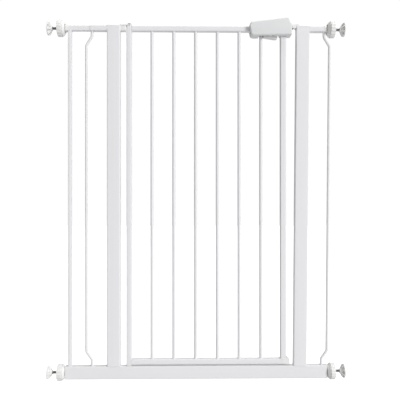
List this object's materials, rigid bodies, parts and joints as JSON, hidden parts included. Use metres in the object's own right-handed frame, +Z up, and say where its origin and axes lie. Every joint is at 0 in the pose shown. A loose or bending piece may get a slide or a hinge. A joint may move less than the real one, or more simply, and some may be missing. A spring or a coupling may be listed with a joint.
{
  "type": "safety baby gate",
  "caption": "Tall white pressure-fit child safety gate: sprung tube frame, barred swinging door with squeeze latch, side extension and screw-out wall pads.",
  "frame": {"origin": "on the floor under the middle of the gate, halfway between the wall pads and in the gate's middle plane", "axes": "+Z up, +X from the hinge side to the latch side, +Y from the front, which has the latch cover, to the back, the way the door opens"},
  "size_m": [0.872, 0.048, 1.0606],
  "materials": {
    "white_powder_coat": "white satin powder coat",
    "white_plastic": "moulded white plastic, satin",
    "latch_plastic": "moulded white plastic, semi-gloss",
    "grey_nylon": "moulded dark grey nylon",
    "zinc_steel": "zinc-plated steel"
  },
  "bodies": {
    "frame": {"bottom_rail": "white_powder_coat", "left_post": "white_powder_coat", "right_post": "white_powder_coat", "left_stub": "white_powder_coat", "right_stub": "white_powder_coat", "left_side_bar": "white_powder_coat", "right_side_bar": "white_powder_coat", "left_post_cap": "white_plastic", "right_post_cap": "white_plastic", "latch_keeper": "white_plastic", "keeper_screws": "zinc_steel", "hinge_stub": "white_powder_coat", "hinge_stub_cap": "white_plastic", "hinge_strap": "white_powder_coat", "upper_hinge_pin": "zinc_steel", "lower_hinge_pin": "zinc_steel", "hinge_washer": "white_plastic", "extension_top_rail": "white_powder_coat", "extension_bottom_rail": "white_powder_coat", "extension_upright": "white_powder_coat", "top_spigot": "zinc_steel", "bottom_spigot": "zinc_steel", "top_end_plugs": "white_plastic", "bottom_end_plugs": "white_plastic"},
    "door": {"hinge_upright": "white_powder_coat", "latch_upright": "white_powder_coat", "door_top_rail": "white_powder_coat", "door_bottom_rail": "white_powder_coat", "door_bar_1": "white_powder_coat", "door_bar_2": "white_powder_coat", "door_bar_3": "white_powder_coat", "door_bar_4": "white_powder_coat", "door_bar_5": "white_powder_coat", "door_bar_6": "white_powder_coat", "upper_hinge_bush": "white_plastic", "lower_hinge_bush": "white_plastic", "corner_block": "white_plastic", "latch_cover": "latch_plastic", "latch_housing": "latch_plastic", "latch_screws": "zinc_steel", "lever_pin": "zinc_steel", "lever_spring": "zinc_steel"},
    "lever": {"squeeze_lever": "white_plastic", "drive_pin": "zinc_steel"},
    "bolt": {"latch_bolt": "grey_nylon"},
    "knob_top_left": {"top_left_knob": "white_plastic"},
    "foot_top_left": {"top_left_spindle": "zinc_steel", "top_left_pad": "white_plastic"},
    "knob_bottom_left": {"bottom_left_knob": "white_plastic"},
    "foot_bottom_left": {"bottom_left_spindle": "zinc_steel", "bottom_left_pad": "white_plastic"},
    "knob_top_right": {"top_right_knob": "white_plastic"},
    "foot_top_right": {"top_right_spindle": "zinc_steel", "top_right_pad": "white_plastic"},
    "knob_bottom_right": {"bottom_right_knob": "white_plastic"},
    "foot_bottom_right": {"bottom_right_spindle": "zinc_steel", "bottom_right_pad": "white_plastic"}
  },
  "joints": [
    {"name": "door_swing", "type": "hinge", "parent": "frame", "child": "door", "pos_m": [-0.1977, 0, 0.5], "axis": [0, 0, 1], "range_deg": [0, 110]},
    {"name": "lever_squeeze", "type": "hinge", "parent": "door", "child": "lever", "pos_m": [0.2012, 0, 1.0142], "axis": [0, -1, 0], "range_deg": [0, 14], "stiffness_Nm_per_rad": 0.6, "springref_deg": -20.05, "deforming": ["lever_spring"]},
    {"name": "bolt_slide", "type": "slide", "parent": "door", "child": "bolt", "axis": [-1, 0, 0], "range_m": [0, 0.0072]},
    {"name": "knob_turn_top_left", "type": "hinge", "parent": "frame", "child": "knob_top_left", "pos_m": [-0.395, 0, 1.0315], "axis": [1, 0, 0], "range_deg": [-3420, 5724]},
    {"name": "foot_travel_top_left", "type": "slide", "parent": "frame", "child": "foot_top_left", "axis": [-1, 0, 0], "range_m": [-0.012, 0.02]},
    {"name": "knob_turn_bottom_left", "type": "hinge", "parent": "frame", "child": "knob_bottom_left", "pos_m": [-0.395, 0, 0.024], "axis": [1, 0, 0], "range_deg": [-3420, 5724]},
    {"name": "foot_travel_bottom_left", "type": "slide", "parent": "frame", "child": "foot_bottom_left", "axis": [-1, 0, 0], "range_m": [-0.012, 0.02]},
    {"name": "knob_turn_top_right", "type": "hinge", "parent": "frame", "child": "knob_top_right", "pos_m": [0.395, 0, 1.0315], "axis": [-1, 0, 0], "range_deg": [-3420, 5724]},
    {"name": "foot_travel_top_right", "type": "slide", "parent": "frame", "child": "foot_top_right", "axis": [1, 0, 0], "range_m": [-0.012, 0.02]},
    {"name": "knob_turn_bottom_right", "type": "hinge", "parent": "frame", "child": "knob_bottom_right", "pos_m": [0.395, 0, 0.024], "axis": [-1, 0, 0], "range_deg": [-3420, 5724]},
    {"name": "foot_travel_bottom_right", "type": "slide", "parent": "frame", "child": "foot_bottom_right", "axis": [1, 0, 0], "range_m": [-0.012, 0.02]}
  ],
  "couplings": [
    {"joint": "bolt_slide", "follows": "lever_squeeze", "m_per_rad": 0.029},
    {"joint": "foot_travel_top_left", "follows": "knob_turn_top_left", "m_per_rad": 0.00019894},
    {"joint": "foot_travel_bottom_left", "follows": "knob_turn_bottom_left", "m_per_rad": 0.00019894},
    {"joint": "foot_travel_top_right", "follows": "knob_turn_top_right", "m_per_rad": 0.00019894},
    {"joint": "foot_travel_bottom_right", "follows": "knob_turn_bottom_right", "m_per_rad": 0.00019894}
  ]
}
